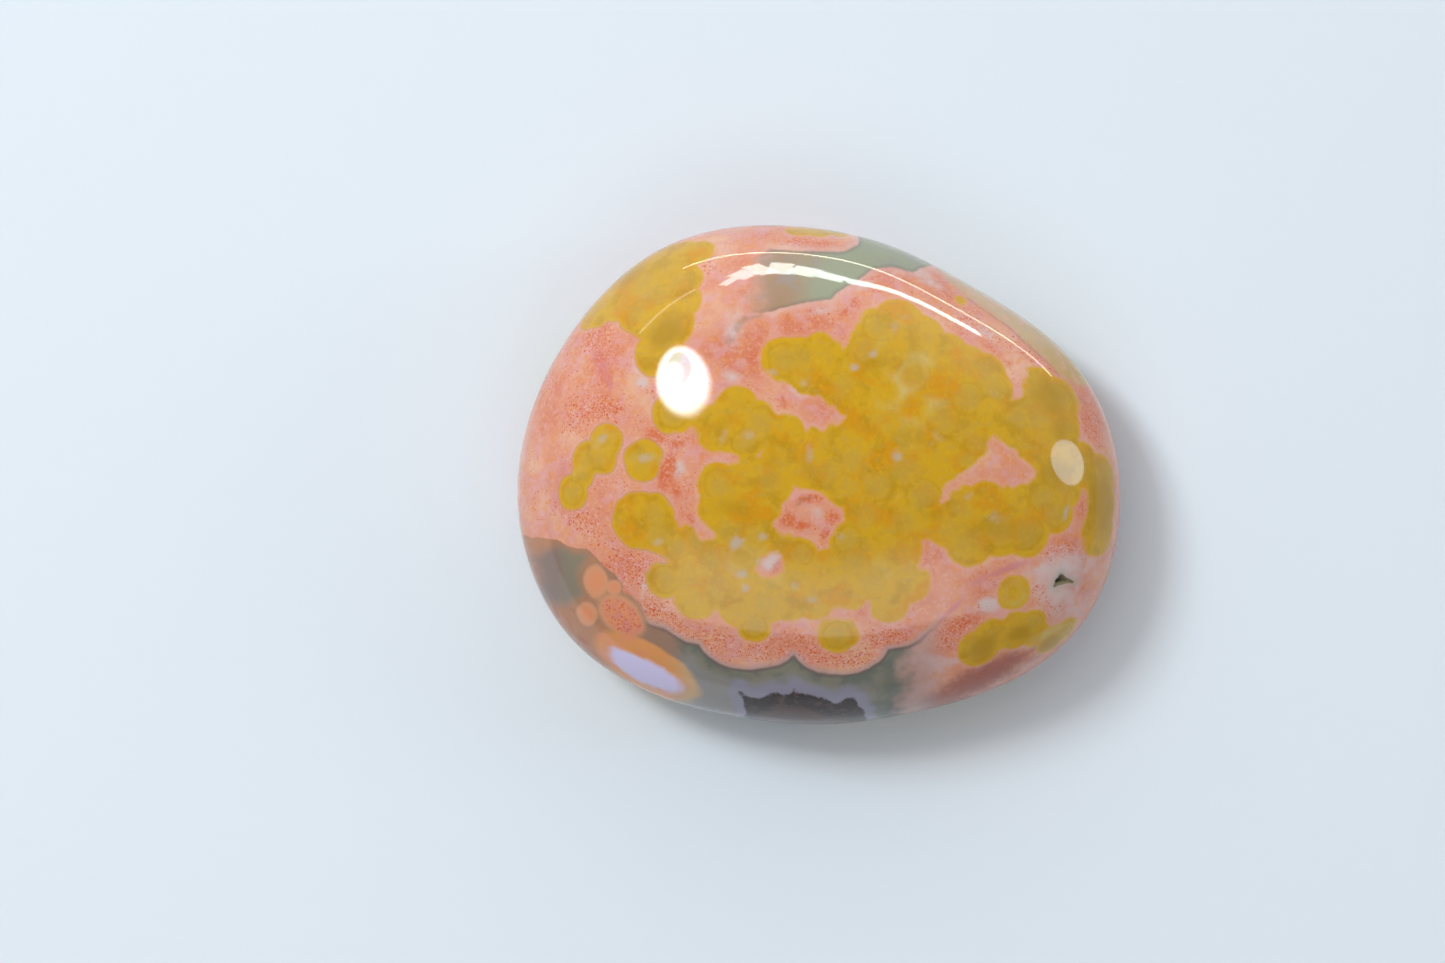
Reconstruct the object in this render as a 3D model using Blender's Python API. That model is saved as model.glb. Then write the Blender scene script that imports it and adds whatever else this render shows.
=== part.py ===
"""Ocean jasper cabochon: one polished, free-form domed stone, lying on its flat back.

Metres, +Z up out of the dome. The origin is on the flat back, under the middle of the outline's box to a
tenth of a millimetre. +X runs along the stone's longest side.
"""

import math

import bmesh
import bpy
import numpy as np

MM = 0.001

# The outline, seen from above: the distance from the middle to the girdle, the widest line round the stone,
# at even steps anticlockwise from +X. It is a rounded egg with a long straight slope at the upper right.
OUTLINE_RADII = np.array(
    [16.9, 15.8, 14.0, 13.5, 13.9, 15.0, 15.8, 16.3, 16.9, 17.0, 16.0, 14.5, 14.0, 14.4, 16.0, 17.2]
) * MM

GIRDLE_HEIGHT = 4.4 * MM  # of the widest line, above the flat back
DOME_HEIGHT = 8.0 * MM  # of the dome's top, above the girdle
BACK_SHARE = 0.76  # the flat back's outline as a share of the girdle's

# The dome's shoulder: an exponent of 0.5 is an ellipse, and a lower one has a fuller, squarer shoulder.
SHOULDER = 0.43
SHOULDER_CHANGE = 0.05  # the shoulder is crisper by this at CRISP_SIDE, and softer by it opposite
CRISP_SIDE = math.radians(55)
BACK_EDGE = 0.9  # below 1, the round between the girdle and the flat back is fuller than an ellipse

BACK_LATITUDE = math.radians(-50)  # where on the sphere that the mesh starts as the flat back begins
SPHERE_SUBDIVISIONS = 5  # of the icosphere, which give it 5,120 triangles

# The small natural pit on the right of the dome, left where a cavity in the rock met the polished face.
PIT_ANGLE = math.radians(-23.4)
PIT_LATITUDE = math.radians(30)
PIT_SIZE = (0.95 * MM, 0.5 * MM, 0.8 * MM)  # along its lip, across it and deep
PIT_TURN = math.radians(-12)
PIT_CORNERS = 7

JASPER_COLOUR = (0.62, 0.38, 0.16, 1.0)
JASPER_ROUGHNESS = 0.06


def outline_radius(angle):
    """The girdle's distance from the middle: the smooth wave that passes through all the OUTLINE_RADII."""
    count = len(OUTLINE_RADII)
    waves = np.fft.rfft(OUTLINE_RADII) / count
    waves[1:-1] *= 2
    orders = np.arange(len(waves))
    turned = np.multiply.outer(angle, orders)
    return (waves.real * np.cos(turned) - waves.imag * np.sin(turned)).sum(axis=-1)


def stone_surface(angle, latitude):
    """Points on the stone, for an angle round it and a latitude from the dome's top (+90) to the back (-90).

    Above the girdle, the share of the outline is cos(latitude) and the height is the dome's, times
    sin(latitude) to twice the shoulder's exponent. Below it, a quarter of a full ellipse turns in to the
    flat back, which the rest of the latitudes cover evenly.
    """
    shoulder = SHOULDER - SHOULDER_CHANGE * np.cos(angle - CRISP_SIDE)
    upper = np.maximum(latitude, 0)
    dome_share = np.cos(upper)
    dome_height = GIRDLE_HEIGHT + DOME_HEIGHT * np.sin(upper) ** (2 * shoulder)

    turn = np.clip(latitude / BACK_LATITUDE, 0, 1) * math.pi / 2
    edge_share = BACK_SHARE + (1 - BACK_SHARE) * np.cos(turn).clip(0) ** BACK_EDGE
    edge_height = GIRDLE_HEIGHT * (1 - np.sin(turn) ** BACK_EDGE)

    inward = np.clip((latitude - BACK_LATITUDE) / (-math.pi / 2 - BACK_LATITUDE), 0, 1)
    below = np.where(latitude < BACK_LATITUDE, BACK_SHARE * (1 - inward), edge_share)

    share = np.where(latitude >= 0, dome_share, below)
    height = np.where(latitude >= 0, dome_height, edge_height)
    reach = outline_radius(angle) * share
    return np.stack([reach * np.cos(angle), reach * np.sin(angle), height], axis=-1)


def make_stone():
    """The stone: an icosphere whose even triangles are carried onto the stone's surface."""
    form = bmesh.new()
    bmesh.ops.create_icosphere(form, subdivisions=SPHERE_SUBDIVISIONS, radius=1)
    on_sphere = np.array([v.co for v in form.verts])
    angle = np.arctan2(on_sphere[:, 1], on_sphere[:, 0])
    latitude = np.arcsin(on_sphere[:, 2].clip(-1, 1))
    for vertex, place in zip(form.verts, stone_surface(angle, latitude)):
        vertex.co = place
    bmesh.ops.recalc_face_normals(form, faces=form.faces)
    mesh = bpy.data.meshes.new("jasper_cabochon")
    form.to_mesh(mesh)
    form.free()
    mesh.shade_smooth()
    stone = bpy.data.objects.new("jasper_cabochon", mesh)
    bpy.context.scene.collection.objects.link(stone)
    return stone


def make_pit_cutter():
    """A small faceted lens, set into the dome at the pit. It only cuts, and isn't part of the stone."""
    form = bmesh.new()
    bmesh.ops.create_uvsphere(form, u_segments=PIT_CORNERS, v_segments=4, radius=0.5)
    bmesh.ops.scale(form, vec=PIT_SIZE, verts=form.verts)
    mesh = bpy.data.meshes.new("pit_cutter")
    form.to_mesh(mesh)
    form.free()
    cutter = bpy.data.objects.new("pit_cutter", mesh)
    cutter.location = stone_surface(PIT_ANGLE, PIT_LATITUDE)
    cutter.rotation_euler.z = PIT_TURN
    cutter.hide_render = True
    cutter.display_type = "WIRE"
    bpy.context.scene.collection.objects.link(cutter)
    return cutter


def jasper_material():
    """Polished ocean jasper, in the mean colour of its gold orbs and pink ground."""
    material = bpy.data.materials.new("ocean_jasper")
    material.use_nodes = True
    shader = material.node_tree.nodes["Principled BSDF"]
    shader.inputs["Base Color"].default_value = JASPER_COLOUR
    shader.inputs["Roughness"].default_value = JASPER_ROUGHNESS
    shader.inputs["Metallic"].default_value = 0.0
    return material


for leftover in list(bpy.data.objects):
    bpy.data.objects.remove(leftover)

stone = make_stone()
stone.data.materials.append(jasper_material())
pit = stone.modifiers.new("pit", "BOOLEAN")
pit.operation = "DIFFERENCE"
pit.object = make_pit_cutter()
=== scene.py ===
import math

import bpy
import numpy as np
from mathutils import Matrix


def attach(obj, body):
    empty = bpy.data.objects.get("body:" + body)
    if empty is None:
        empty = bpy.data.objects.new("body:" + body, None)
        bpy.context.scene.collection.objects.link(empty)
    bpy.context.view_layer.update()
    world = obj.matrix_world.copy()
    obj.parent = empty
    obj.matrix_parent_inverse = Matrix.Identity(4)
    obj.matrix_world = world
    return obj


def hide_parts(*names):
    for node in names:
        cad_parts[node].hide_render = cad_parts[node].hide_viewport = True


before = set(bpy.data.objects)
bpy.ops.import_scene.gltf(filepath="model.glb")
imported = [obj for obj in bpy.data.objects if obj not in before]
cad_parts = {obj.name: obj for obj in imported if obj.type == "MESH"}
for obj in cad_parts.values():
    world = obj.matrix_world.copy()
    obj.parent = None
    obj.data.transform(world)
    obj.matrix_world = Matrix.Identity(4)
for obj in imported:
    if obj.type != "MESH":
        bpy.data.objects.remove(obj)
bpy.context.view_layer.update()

# The stone's form: one piece of ocean jasper, sawn from the rock, ground on a wheel to a low free-form dome
# over a flat back, and polished all over. Its sizes are in millimetres and the same as those of its solid.
OUTLINE_RADII = np.array(
    [16.9, 15.8, 14.0, 13.5, 13.9, 15.0, 15.8, 16.3, 16.9, 17.0, 16.0, 14.5, 14.0, 14.4, 16.0, 17.2]
)
GIRDLE_HEIGHT = 4.4
DOME_HEIGHT = 8.0
BACK_SHARE = 0.76
SHOULDER = 0.43
SHOULDER_CHANGE = 0.05
CRISP_SIDE = math.radians(55)
BACK_EDGE = 0.9
BACK_LATITUDE = math.radians(-50)
PIT_ANGLE = math.radians(-23.4)
PIT_LATITUDE = math.radians(30)
GRID_STEPS = 128  # along each of the six square grids that the surface is laid out on
GRID_EQUATOR = math.radians(-18)  # the grids' own latitude of the girdle, so that the dome gets more of them
PIT_PULL = 2.5  # how many times closer the grid lies at the pit
PIT_REACH = 0.004  # how far round that goes, as 1 minus the cosine of the angle
WAVE_COUNT = 7
WAVE_SPREAD = (0.7, 1.4)  # of the waves' numbers, as shares of the mean one


def outline_radius(angle):
    """The girdle's distance from the middle: the smooth wave that passes through all the OUTLINE_RADII."""
    spectrum = np.fft.rfft(OUTLINE_RADII) / len(OUTLINE_RADII)
    spectrum[1:-1] *= 2
    turned = np.multiply.outer(angle, np.arange(len(spectrum)))
    return (spectrum.real * np.cos(turned) - spectrum.imag * np.sin(turned)).sum(axis=-1)


def shoulder(angle):
    """The dome's exponent: 0.5 is an ellipse, and a lower one has a fuller, squarer shoulder."""
    return SHOULDER - SHOULDER_CHANGE * np.cos(angle - CRISP_SIDE)


def stone_surface(angle, latitude):
    """Points on the stone for an angle round it and a latitude from the dome's top (+90) to the back (-90).

    Above the girdle, the share of the outline is cos(latitude), and the height is the dome's times
    sin(latitude) to twice the shoulder's exponent. Below it, a quarter of a full ellipse turns in to the
    flat back, which the other latitudes cover evenly.
    """
    upper = np.maximum(latitude, 0)
    dome = GIRDLE_HEIGHT + DOME_HEIGHT * np.sin(upper) ** (2 * shoulder(angle))
    turn = np.clip(latitude / BACK_LATITUDE, 0, 1) * math.pi / 2
    edge_share = BACK_SHARE + (1 - BACK_SHARE) * np.cos(turn).clip(0) ** BACK_EDGE
    edge = GIRDLE_HEIGHT * (1 - np.sin(turn) ** BACK_EDGE)
    inward = np.clip((latitude - BACK_LATITUDE) / (-math.pi / 2 - BACK_LATITUDE), 0, 1)
    below = np.where(latitude < BACK_LATITUDE, BACK_SHARE * (1 - inward), edge_share)
    share = np.where(latitude >= 0, np.cos(upper), below)
    height = np.where(latitude >= 0, dome, edge)
    reach = outline_radius(angle) * share
    return np.stack([reach * np.cos(angle), reach * np.sin(angle), height], axis=-1)


def waves(points, length, seed):
    """Smooth waves from about -1 to 1, about this long: twice the mean of plane sine waves of random ways."""
    rng = np.random.default_rng(seed)
    ways = rng.normal(size=(WAVE_COUNT, 3))
    numbers = math.tau / length * rng.uniform(*WAVE_SPREAD, WAVE_COUNT)
    ways *= (numbers / np.linalg.norm(ways, axis=1))[:, None]
    return np.sin(points @ ways.T + rng.uniform(0, math.tau, WAVE_COUNT)).mean(axis=1) * 2


def sphere_grids():
    """Unit directions and quads of a sphere, as the six faces of a cube of square grids, welded at its edges.

    A grid point is (1, tan u, tan v) with u and v at even steps from -45 to 45 degrees, turned to each face.
    """
    step = np.tan(np.linspace(-math.pi / 4, math.pi / 4, GRID_STEPS + 1))
    v, u = np.meshgrid(step, step, indexing="ij")
    face = np.stack([np.ones_like(u), u, v], axis=-1).reshape(-1, 3)
    row = np.arange(GRID_STEPS)
    start = (row[:, None] * (GRID_STEPS + 1) + row).ravel()
    quad = start[:, None] + [0, 1, GRID_STEPS + 2, GRID_STEPS + 1]
    sides = [np.roll(face, axis, axis=1) for axis in range(3)]
    points = np.concatenate(sides + [-side for side in sides])
    turned = [quad + k * len(face) if k < 3 else quad[:, ::-1] + k * len(face) for k in range(6)]
    points /= np.linalg.norm(points, axis=1, keepdims=True)
    _, first, index = np.unique(points.round(6), axis=0, return_index=True, return_inverse=True)
    return points[first], index.reshape(-1)[np.concatenate(turned)]


def direction(angle, latitude):
    """The unit vector at an angle round the upright axis and a latitude above the horizon."""
    flat = np.cos(latitude)
    return np.stack([flat * np.cos(angle), flat * np.sin(angle), np.sin(latitude)], axis=-1)


ways, quads = sphere_grids()
pit_way = direction(PIT_ANGLE, GRID_EQUATOR + PIT_LATITUDE * (1 - GRID_EQUATOR / (math.pi / 2)))
ways += PIT_PULL * np.exp((ways @ pit_way - 1) / PIT_REACH)[:, None] * pit_way
ways /= np.linalg.norm(ways, axis=1, keepdims=True)
angles = np.arctan2(ways[:, 1], ways[:, 0])
lattice = np.arcsin(ways[:, 2].clip(-1, 1)) - GRID_EQUATOR
quarter_turn = math.pi / 2
latitudes = np.where(
    lattice > 0,
    lattice * quarter_turn / (quarter_turn - GRID_EQUATOR),
    lattice * quarter_turn / (quarter_turn + GRID_EQUATOR),
)
points = stone_surface(angles, latitudes)

# Hand polishing leaves the dome very slightly wavy. The waves only take away, towards the flat back's middle.
RIPPLE = 0.0012
RIPPLE_LENGTH = 9.0
RIPPLE_FLOOR = 3.4  # in RIPPLEs: the waves' depth below the ground surface, at their middle
ripple = RIPPLE * (RIPPLE_FLOOR + waves(points, RIPPLE_LENGTH, seed=3))
points *= 1 - ripple[:, None]

# The camera looks straight down on the dome, as the photograph looks straight at it. Its image is 1445 by 963
# pixels and 81 mm wide at the girdle, and the stone lies right of its middle.
FRAME_PIXELS = (1445, 963)
STONE_PIXELS = 606
STONE_WIDTH = 34.0
STONE_MIDDLE_PIXEL = (818.5, 475.8)
MM_PER_PIXEL = STONE_WIDTH / STONE_PIXELS
LENS = 100.0
SENSOR_WIDTH = 36.0
VIEW_DISTANCE = LENS / SENSOR_WIDTH * FRAME_PIXELS[0] * MM_PER_PIXEL
AIM = (
    (FRAME_PIXELS[0] / 2 - STONE_MIDDLE_PIXEL[0]) * MM_PER_PIXEL,
    (STONE_MIDDLE_PIXEL[1] - FRAME_PIXELS[1] / 2) * MM_PER_PIXEL,
)

# The pit: a small natural hollow that the polish cut open, three-cornered with a ragged lip. These are its
# corners as the photograph shows them, in plan from the stone's middle.
PIT_CORNERS = [(13.2, -6.22), (13.4, -5.8), (13.65, -5.5), (13.92, -5.76), (14.3, -5.96), (13.8, -6.02)]
PIT_DEPTH = 0.42
PIT_WALL = 0.13  # how far in from the lip the wall slopes down
PIT_RAGGED = 0.02  # how far the lip wanders from its line
PIT_WAVE = 0.35  # and the length of its waves


def dome_height(x, y):
    """The dome's height over a point in plan, from the point's share of the outline there."""
    angle = np.arctan2(y, x)
    share = np.hypot(x, y) / outline_radius(angle)
    return GIRDLE_HEIGHT + DOME_HEIGHT * (1 - share**2).clip(0) ** shoulder(angle)


def on_dome(x, y):
    """The point on the dome that the camera sees at (x, y), a place in the photograph at the girdle's scale.

    What stands above the girdle is nearer to the camera, so it looks further out from the image's middle.
    Each round of the loop brings the place in plan closer to the one that looks so.
    """
    plan_x, plan_y = x, y
    for _ in range(5):
        nearer = 1 - (dome_height(plan_x, plan_y) - GIRDLE_HEIGHT) / VIEW_DISTANCE
        plan_x = AIM[0] + (x - AIM[0]) * nearer
        plan_y = AIM[1] + (y - AIM[1]) * nearer
    return np.stack([plan_x, plan_y, dome_height(plan_x, plan_y)], axis=-1)


def seen_places(points):
    """Where the camera sees each point, in plan at the girdle's scale: the reverse of on_dome."""
    nearer = 1 - (points[:, 2:] - GIRDLE_HEIGHT) / VIEW_DISTANCE
    return np.array(AIM) + (points[:, :2] - AIM) / nearer


def fence_distance(places, corners):
    """How far each place lies outside a closed line through the corners, less than zero inside it.

    That is the distance to the nearest straight piece, with its sign from how often a line to +X crosses.
    """
    nearest = np.full(len(places), np.inf)
    inside = np.zeros(len(places), bool)
    for a, b in zip(np.array(corners), np.roll(corners, -1, axis=0)):
        along = ((places - a) @ (b - a) / ((b - a) @ (b - a))).clip(0, 1)
        nearest = np.minimum(nearest, np.linalg.norm(places - a - along[:, None] * (b - a), axis=1))
        spans = (a[1] > places[:, 1]) != (b[1] > places[:, 1])
        crossing = a[0] + (places[:, 1] - a[1]) * (b[0] - a[0]) / (b[1] - a[1] if b[1] != a[1] else 1)
        inside ^= spans & (places[:, 0] < crossing)
    return np.where(inside, -nearest, nearest)


def chart(points, angles):
    """Each point's place on a flat chart of the pattern: as the camera sees the dome, and below the girdle
    unrolled outward by its way down the side and in over the back, so that the pattern runs on over the rim.
    """
    outward = np.stack([np.cos(angles), np.sin(angles)], axis=-1)
    rim = outline_radius(angles)
    inward = rim - np.hypot(points[:, 0], points[:, 1])
    unrolled = outward * (rim + np.hypot(inward, GIRDLE_HEIGHT - points[:, 2]))[:, None]
    return np.where(points[:, 2:] > GIRDLE_HEIGHT, seen_places(points), unrolled)


places = chart(points, angles)
pit_edge = fence_distance(places, PIT_CORNERS) + PIT_RAGGED * waves(points, PIT_WAVE, seed=5)
down_wall = (-pit_edge / PIT_WALL).clip(0, 1)
sunk = down_wall * down_wall * (3 - 2 * down_wall)  # a smooth step, from the lip to the pit's floor
points -= PIT_DEPTH * sunk[:, None] * direction(angles, latitudes)

# The orbs: balls of gold silica that grew in the pink, cut open by the dome. Each is a place seen from the
# camera, and the ball's radius. On the sides and back, they are strewn in clusters like those of the front.
ORBS_UPPER_LEFT = [
    (-12.3, 9.4, 0.9), (-11.2, 10.1, 1.25), (-9.9, 10.9, 1.4), (-8.6, 11.6, 1.4), (-7.7, 11.0, 1.25),
    (-6.9, 12.6, 1.1), (-7.7, 9.9, 1.2), (-9.5, 8.9, 1.3), (-8.2, 8.5, 1.3), (-9.0, 6.95, 1.4),
    (-8.6, 7.4, 1.1), (-8.2, 3.5, 1.2), (-12.6, 9.3, 1.3), (-11.5, 10.6, 1.5), (-10.3, 11.6, 1.5),
    (-9.0, 12.4, 1.4), (-7.9, 12.7, 1.1), (-11.0, 9.75, 1.25), (-12.3, 9.2, 1.05), (-10.2, 9.2, 1.2),
    (-9.0, 10.2, 1.0),
]
ORBS_LEFT = [
    (-11.95, 1.88, 1.04), (-12.93, 0.95, 1.03), (-12.2, 0.95, 0.9), (-13.25, 0.05, 0.75),
    (-13.85, -0.95, 1.0), (-9.82, 0.86, 1.16), (-10.1, -2.5, 1.6), (-9.3, -2.2, 1.2), (-9.0, -3.2, 1.2),
]
ORBS_TOP = [
    (-1.9, 6.5, 1.35), (-1.0, 6.6, 1.3), (0.2, 6.8, 1.35), (0.3, 5.5, 1.3), (-0.7, 5.7, 1.2),
    (1.4, 5.0, 1.4), (2.5, 7.0, 1.3), (-0.1, 13.75, 0.85), (-1.1, 13.8, 0.8), (1.0, 13.7, 0.8),
    (8.0, 9.9, 0.4),
]
ORBS_MIDDLE_LEFT = [
    (-4.6, 3.75, 1.3), (-5.6, 2.4, 1.2), (-6.1, 2.95, 1.1), (-3.3, 2.9, 1.4), (-2.0, 2.3, 1.3),
    (-4.2, 1.9, 1.0), (-5.6, -0.5, 1.25), (-5.3, -1.7, 1.45), (-4.2, 0.0, 1.3), (-4.2, -1.6, 1.4),
    (-2.8, -0.3, 1.4), (-3.2, -1.8, 1.1), (-0.5, 0.6, 1.4), (0.6, 0.1, 1.2), (1.6, -0.6, 1.2),
    (-7.1, 3.6, 0.85), (-2.0, 0.9, 1.3), (-5.0, -3.1, 1.3), (-6.9, -3.6, 1.1), (-3.6, -3.3, 1.2),
]
ORBS_BOTTOM = [
    (-7.9, -4.0, 1.1), (-8.6, -5.8, 1.1), (-7.2, -5.6, 1.4), (-6.9, -6.9, 1.25), (-5.9, -4.6, 1.3),
    (-5.6, -6.2, 1.4), (-4.4, -7.4, 1.25), (-3.0, -7.2, 1.25), (-1.6, -7.0, 1.25), (-3.6, -8.5, 0.95),
    (-3.2, -5.8, 1.1), (-1.4, -5.7, 1.2), (-1.0, -4.4, 0.95), (-0.3, -7.05, 1.15), (0.5, -5.4, 1.3),
    (1.6, -6.4, 1.3), (2.0, -4.8, 1.3), (3.0, -5.9, 1.2), (3.95, -7.1, 1.22), (4.9, -5.9, 1.4),
    (4.5, -4.4, 1.35), (1.7, -3.6, 1.1), (2.7, -2.2, 1.35), (3.4, -3.5, 1.35), (4.9, -2.6, 1.4),
    (-4.4, -4.6, 1.2), (-2.3, -3.9, 1.0), (1.08, -8.92, 1.16),
]
ORBS_MIDDLE_RIGHT = [
    (3.3, 8.3, 1.25), (4.5, 8.6, 1.5), (5.8, 7.8, 1.4), (7.2, 6.8, 1.4), (8.5, 6.2, 1.3), (9.4, 5.8, 1.25),
    (9.9, 4.9, 1.15), (9.8, 3.5, 1.35), (8.4, 4.3, 1.4), (7.0, 5.1, 1.4), (5.4, 5.7, 1.4), (4.0, 6.6, 1.4),
    (2.7, 5.9, 1.4), (2.2, 4.3, 1.4), (3.8, 4.7, 1.4), (5.4, 3.9, 1.4), (7.0, 3.2, 1.4), (8.3, 2.5, 1.3),
    (7.7, 1.3, 1.2), (6.4, 0.9, 1.3), (5.2, 2.2, 1.4), (3.6, 3.1, 1.4), (2.0, 2.6, 1.4), (0.5, 1.8, 1.3),
    (1.9, 0.9, 1.4), (3.4, 1.4, 1.4), (4.9, 0.3, 1.4), (5.9, -1.2, 1.4), (3.3, -0.5, 1.4),
    (6.3, -2.3, 1.3), (8.9, 1.8, 1.0), (8.3, 0.9, 0.9), (7.2, 0.2, 1.0), (10.9, 2.6, 1.1),
]
ORBS_RIGHT = [
    (11.5, 2.0, 1.1), (12.3, 1.2, 0.9),
    (8.0, -1.8, 1.3), (8.5, -3.6, 1.5), (7.3, -2.9, 1.2), (9.4, -1.4, 1.15), (10.2, -3.1, 1.5),
    (11.7, -3.2, 1.4), (11.2, -1.7, 1.35), (12.6, -1.2, 1.2), (13.3, -2.1, 1.2), (12.5, 4.9, 1.35),
    (13.6, 4.3, 1.4), (12.3, 3.3, 1.5), (13.8, 2.9, 1.2), (12.5, 1.8, 1.2), (13.7, 1.4, 1.3),
    (11.2, 3.2, 1.2), (13.4, 0.2, 1.4), (14.8, 0.6, 1.4), (13.9, -0.8, 1.1), (15.9, -0.2, 1.5),
    (16.0, -1.7, 1.4), (15.8, -3.1, 1.5), (10.99, -6.59, 1.03),
]
ORBS_LOWER_RIGHT = [
    (9.0, -9.75, 1.25), (9.7, -9.1, 1.15), (11.1, -8.75, 1.2), (12.05, -8.3, 0.85), (12.2, -8.9, 0.9),
    (13.2, -9.2, 1.1), (13.9, -8.7, 0.9),
]
HIDDEN_CLUSTERS = 11
HIDDEN_CLUSTER_REACH = (1.5, 4.2)
HIDDEN_CLUSTER_ORBS = (3, 15)  # in a cluster, at least this many and fewer than that
HIDDEN_ORB_RADII = (0.8, 1.55)
HIDDEN_BELOW = -0.25  # the latitude that hidden orbs keep under
HIDDEN_SEED = 11
HEART_SEED = 31

# Gaps that the orbs left, where the pink shows through: closed lines in plan, as the camera sees them.
GAP_NOTCH = [(1.31, 7.28), (0.75, 7.9), (0.2, 8.2), (1.0, 9.6), (2.5, 9.2), (1.95, 8.4), (1.66, 7.7)]
GAP_CHANNEL = [
    (-5.4, 5.6), (-4.25, 5.08), (-3.5, 4.81), (-3.13, 4.35), (-2.75, 3.98), (-2.29, 3.61), (-1.73, 3.42),
    (-1.27, 3.51), (-0.71, 3.23), (-0.34, 2.96), (0.13, 2.68), (0.96, 3.05), (1.52, 3.21), (0.96, 3.61),
    (0.5, 3.98), (0.03, 4.44), (-0.62, 4.26), (-1.08, 4.44), (-1.64, 5.0), (-2.65, 5.42), (-3.3, 6.0),
]
GAP_LEFT = [
    (-7.0, 2.66), (-6.7, 1.93), (-6.48, 1.37), (-6.01, 1.14), (-5.36, 1.19), (-4.6, 1.2), (-4.6, 0.85),
    (-4.99, 0.72), (-5.4, 0.9), (-6.01, 0.91), (-6.38, 0.72), (-6.76, 0.26), (-6.94, -0.39), (-6.9, -1.14),
    (-6.76, -1.97), (-6.7, -2.63), (-6.29, -3.0), (-5.83, -3.4), (-6.38, -3.65), (-6.8, -3.1), (-7.32, -2.7),
    (-7.88, -2.16), (-8.2, -1.69), (-8.43, -1.04), (-8.99, -0.39), (-8.6, 2.1),
]
GAP_CENTRE = [
    (-1.18, -1.04), (-0.62, -0.95), (0.03, -0.86), (0.31, -1.14), (0.78, -1.88), (1.25, -2.07),
    (1.29, -2.53), (0.96, -3.0), (0.59, -3.56), (0.31, -3.65), (0.1, -3.2), (-0.25, -3.09), (-1.08, -2.9),
    (-1.55, -3.09), (-2.01, -3.46), (-2.38, -2.63), (-2.01, -2.25), (-1.64, -1.97), (-1.36, -1.51),
]
GAP_INLET = [
    (9.82, 2.24), (9.53, 1.58), (9.25, 1.02), (8.68, 0.54), (7.92, -0.03), (7.26, -0.41), (6.88, -1.17),
    (6.75, -1.5), (7.05, -1.4), (7.45, -1.0), (8.21, -0.41), (8.97, -0.03), (9.72, -0.12), (10.39, -0.41),
    (10.86, -0.6), (11.43, -0.31), (12.0, -0.12), (12.22, 0.3), (11.81, 0.54), (11.15, 1.11), (10.58, 1.68),
]
GAP_RIGHT_NOTCH = [
    (11.1, 6.2), (11.08, 5.4), (11.12, 4.9), (10.95, 4.5), (11.0, 4.25), (11.2, 4.5), (11.4, 4.95),
    (11.5, 5.5), (11.75, 6.0),
]
GAP_LOWER_NOTCH = [(5.8, -5.2), (5.95, -4.3), (6.05, -3.62), (6.4, -3.95), (6.9, -4.3), (7.3, -5.2)]
GAP_TONGUE = [(-10.3, -4.2), (-9.58, -4.35), (-8.61, -4.55), (-8.5, -4.8), (-9.14, -4.88), (-9.9, -5.5)]
GAP_BOTTOM = [(2.69, -7.11), (2.44, -7.44), (2.0, -7.72), (0.8, -7.38), (0.6, -8.0), (2.9, -8.0)]
GAP_SMALL = [
    (-2.5, -4.2), (-2.1, -4.6), (-1.9, -5.2), (-2.4, -5.7), (-3.1, -5.6), (-3.4, -5.1), (-3.0, -4.7),
]
GAP_WEDGE = [
    (15.06, -0.91), (14.8, -1.9), (14.45, -2.6), (13.9, -3.7), (14.9, -4.2), (14.75, -3.2), (15.0, -2.1),
]
GAP_RIM = [(15.3, 3.7), (14.85, 3.3), (14.8, 2.7), (15.2, 2.0), (15.6, 1.5), (17.0, 1.2), (17.0, 4.0)]
GAPS = [
    GAP_NOTCH, GAP_CHANNEL, GAP_LEFT, GAP_CENTRE, GAP_INLET, GAP_RIGHT_NOTCH, GAP_LOWER_NOTCH, GAP_TONGUE,
    GAP_BOTTOM, GAP_SMALL, GAP_WEDGE, GAP_RIM,
]
GROWTH_WANDER = 0.05  # how far the growth's edges wander from a true ball
GROWTH_WAVE = 1.6
GAP_WANDER = 0.12  # and how far the gaps' edges do from their lines
GAP_WAVE = 0.9


def nearest_ball(points, centres, radii):
    """The distance to the nearest ball's skin, less than zero inside it, then the least share of a radius
    that a point lies out from a centre, and which ball that is."""
    skin = np.full(len(points), np.inf)
    share = np.full(len(points), np.inf)
    owner = np.zeros(len(points), int)
    for number, (centre, radius) in enumerate(zip(centres, radii)):
        away = np.linalg.norm(points - centre, axis=1)
        skin = np.minimum(skin, away - radius)
        owner[away / radius < share] = number
        share = np.minimum(share, away / radius)
    return skin, share, owner


def hidden_orbs(points, latitudes):
    """Centres and radii of orbs on the sides and back: in each cluster, a few points of the surface that lie
    within its reach of one of them."""
    rng = np.random.default_rng(HIDDEN_SEED)
    low_points = points[latitudes < HIDDEN_BELOW]
    centres = []
    for heart in rng.choice(low_points, HIDDEN_CLUSTERS, replace=False):
        reach = rng.uniform(*HIDDEN_CLUSTER_REACH)
        near = low_points[np.linalg.norm(low_points - heart, axis=1) < reach]
        centres.append(rng.choice(near, rng.integers(*HIDDEN_CLUSTER_ORBS)))
    centres = np.concatenate(centres)
    return centres, rng.uniform(*HIDDEN_ORB_RADII, len(centres))


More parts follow.
